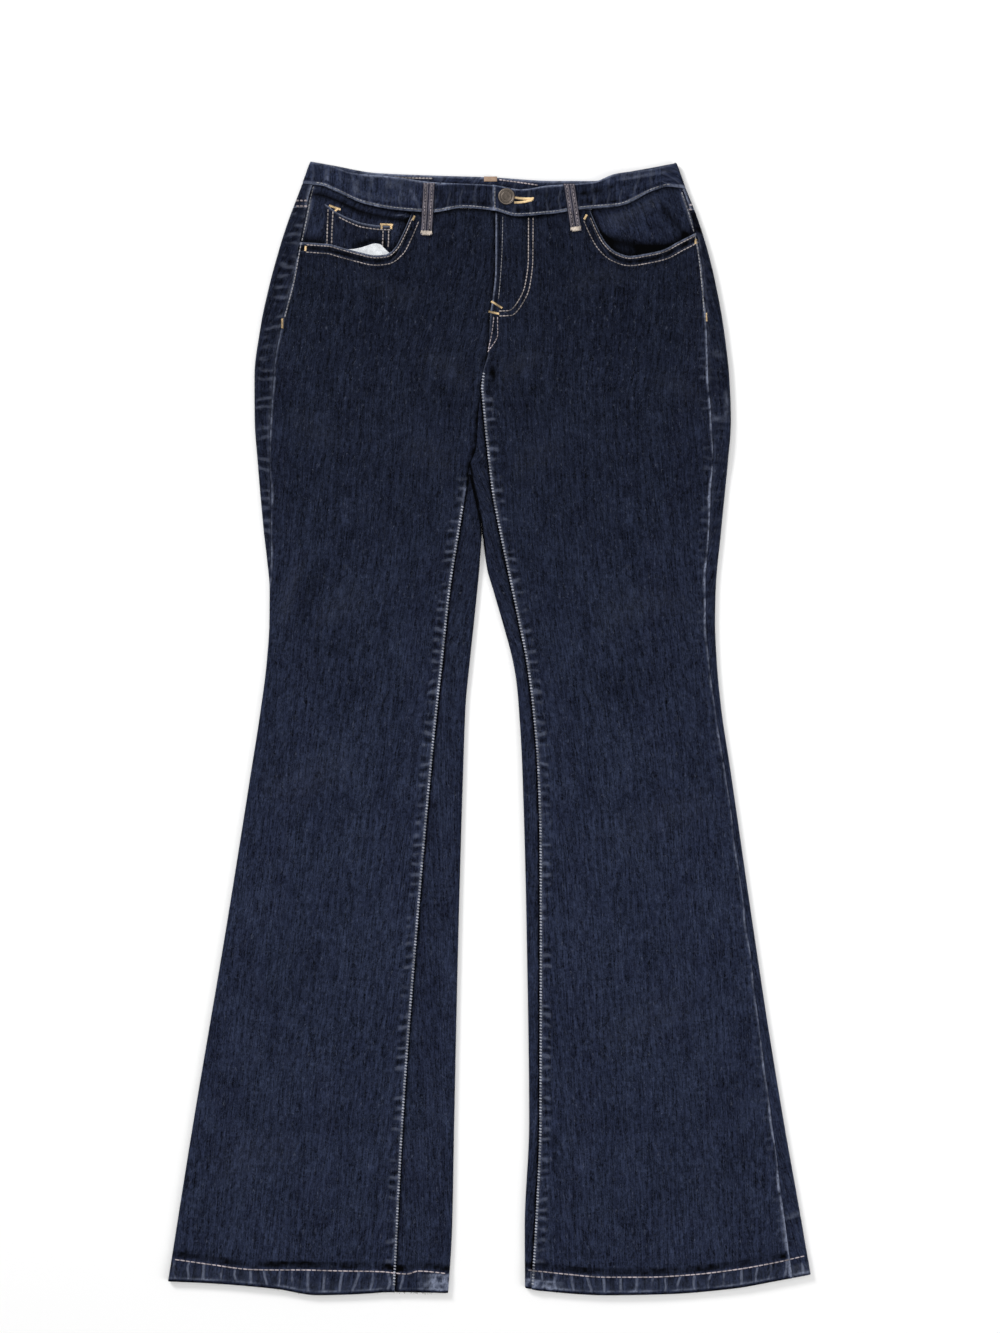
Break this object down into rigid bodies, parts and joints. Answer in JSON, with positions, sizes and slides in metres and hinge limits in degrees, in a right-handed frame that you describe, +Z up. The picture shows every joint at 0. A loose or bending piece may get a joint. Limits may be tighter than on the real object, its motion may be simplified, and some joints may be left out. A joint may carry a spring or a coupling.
{
  "type": "bootcut jeans",
  "caption": "Dark denim jeans with a flared lower leg, laid flat front up, with pockets, yoke, waistband, belt loops, buttoned fly and turned-up hems.",
  "frame": {"origin": "middle of the laid-out jeans, on the surface they lie on", "axes": "+Z up off the surface, +Y from the hems to the waist, +X towards the wearer's left"},
  "size_m": [0.6033, 1.0635, 0.0104],
  "materials": {
    "denim": "very dark indigo stretch denim with fine upright slubs",
    "waistband": "dark indigo denim, doubled, slightly rubbed along its edges",
    "pocketing": "white cotton pocketing",
    "tab": "plain tan woven tab",
    "zip_tape": "dark woven tape",
    "button_metal": "dull dark bronze"
  },
  "bodies": {
    "root": {"front_right_panel": "denim", "front_left_panel": "denim", "back_right_panel": "denim", "back_left_panel": "denim", "yoke_right": "denim", "yoke_left": "denim", "back_pocket_right": "denim", "back_pocket_left": "denim", "pocket_facing_right": "denim", "pocket_facing_left": "denim", "coin_pocket": "denim", "belt_loop_front_right": "denim", "belt_loop_front_left": "denim", "belt_loop_side_right": "denim", "belt_loop_side_left": "denim", "belt_loop_back": "denim", "waistband_back": "waistband", "waistband_front_right": "waistband", "waistband_front_left": "waistband", "pocket_lining_right": "pocketing", "waist_tab": "tab", "zip": "zip_tape", "button": "button_metal"}
  },
  "joints": []
}
